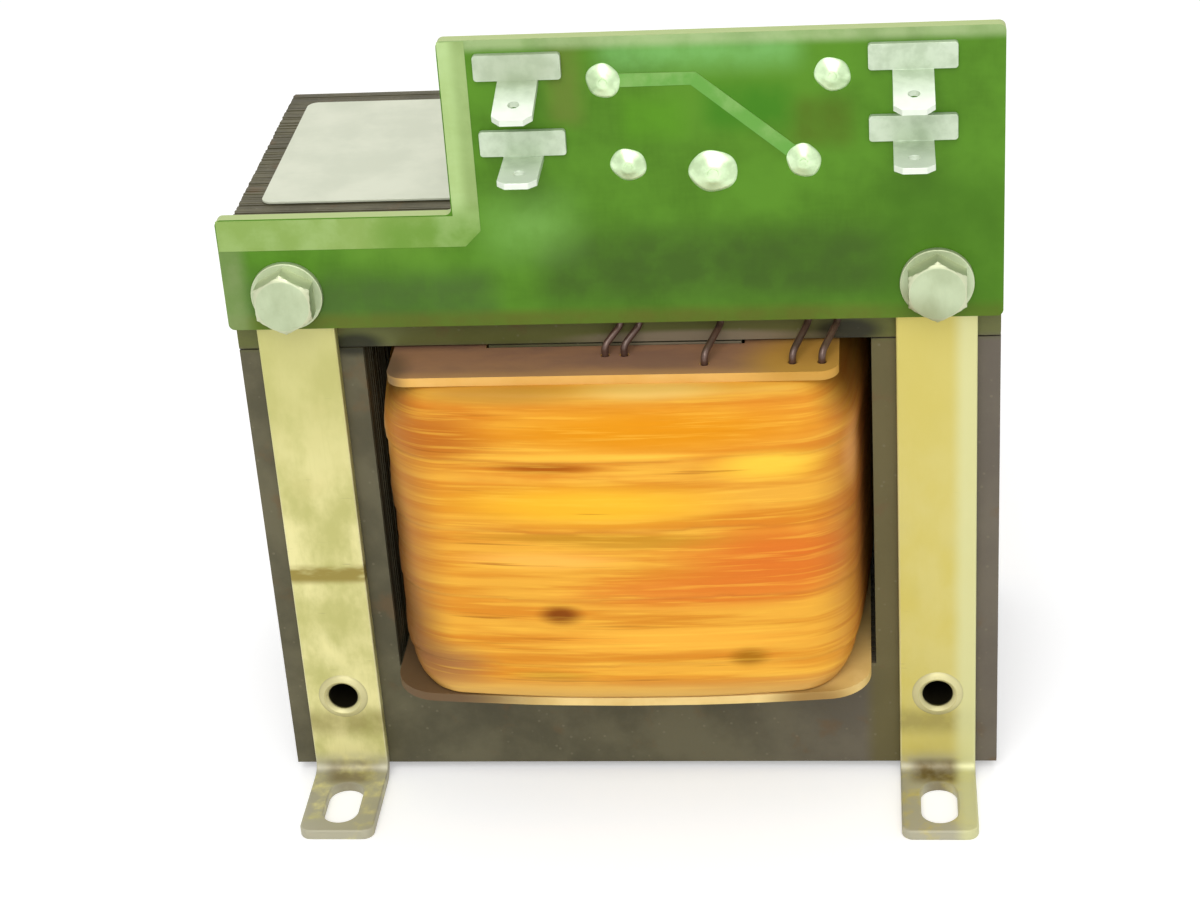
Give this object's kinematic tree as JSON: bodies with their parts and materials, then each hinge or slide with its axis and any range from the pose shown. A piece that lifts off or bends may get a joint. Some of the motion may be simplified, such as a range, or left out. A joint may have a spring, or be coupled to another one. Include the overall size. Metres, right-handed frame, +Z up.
{
  "type": "electrical transformer",
  "caption": "Open-frame electrical transformer: film-wrapped coil in a laminated steel core, with a green terminal board, blade terminals and slotted strap feet",
  "frame": {"origin": "middle of the footprint, on the surface that the feet stand on", "axes": "+Z is up, -Y is the front with the terminal board, +X is right as seen from the front"},
  "size_m": [0.096, 0.0792, 0.1069],
  "materials": {
    "lamination_steel": "dark varnished silicon steel",
    "former_board": "pressed board, matt",
    "enamelled_copper": "enamelled copper wire",
    "insulation_paper": "insulating paper",
    "amber_film": "amber film tape, glossy",
    "green_board": "green printed board",
    "tinned_brass": "tinned brass",
    "solder": "solder",
    "zinc_steel": "zinc plated steel",
    "yellow_zinc_steel": "yellow zinc plated steel",
    "sleeve_fibre": "brown insulating fibre",
    "pale_plate": "varnished blank plate"
  },
  "bodies": {
    "root": {"e_laminations": "lamination_steel", "i_laminations": "lamination_steel", "coil_former": "former_board", "primary_winding": "enamelled_copper", "winding_insulation": "insulation_paper", "secondary_winding": "enamelled_copper", "coil_wrap": "amber_film", "front_left_foot": "yellow_zinc_steel", "front_right_foot": "yellow_zinc_steel", "rear_left_foot": "yellow_zinc_steel", "rear_right_foot": "yellow_zinc_steel", "terminal_board": "green_board", "upper_left_blade": "tinned_brass", "lower_left_blade": "tinned_brass", "upper_right_blade": "tinned_brass", "lower_right_blade": "tinned_brass", "primary_start_lead": "enamelled_copper", "primary_end_lead": "enamelled_copper", "screen_lead": "enamelled_copper", "secondary_start_lead": "enamelled_copper", "secondary_end_lead": "enamelled_copper", "solder_joints": "solder", "core_bolts": "zinc_steel", "bolt_sleeves": "sleeve_fibre", "front_washers": "zinc_steel", "rear_washers": "zinc_steel", "lock_washers": "zinc_steel", "core_nuts": "zinc_steel", "hollow_rivets": "yellow_zinc_steel", "top_plate": "pale_plate"}
  },
  "joints": []
}
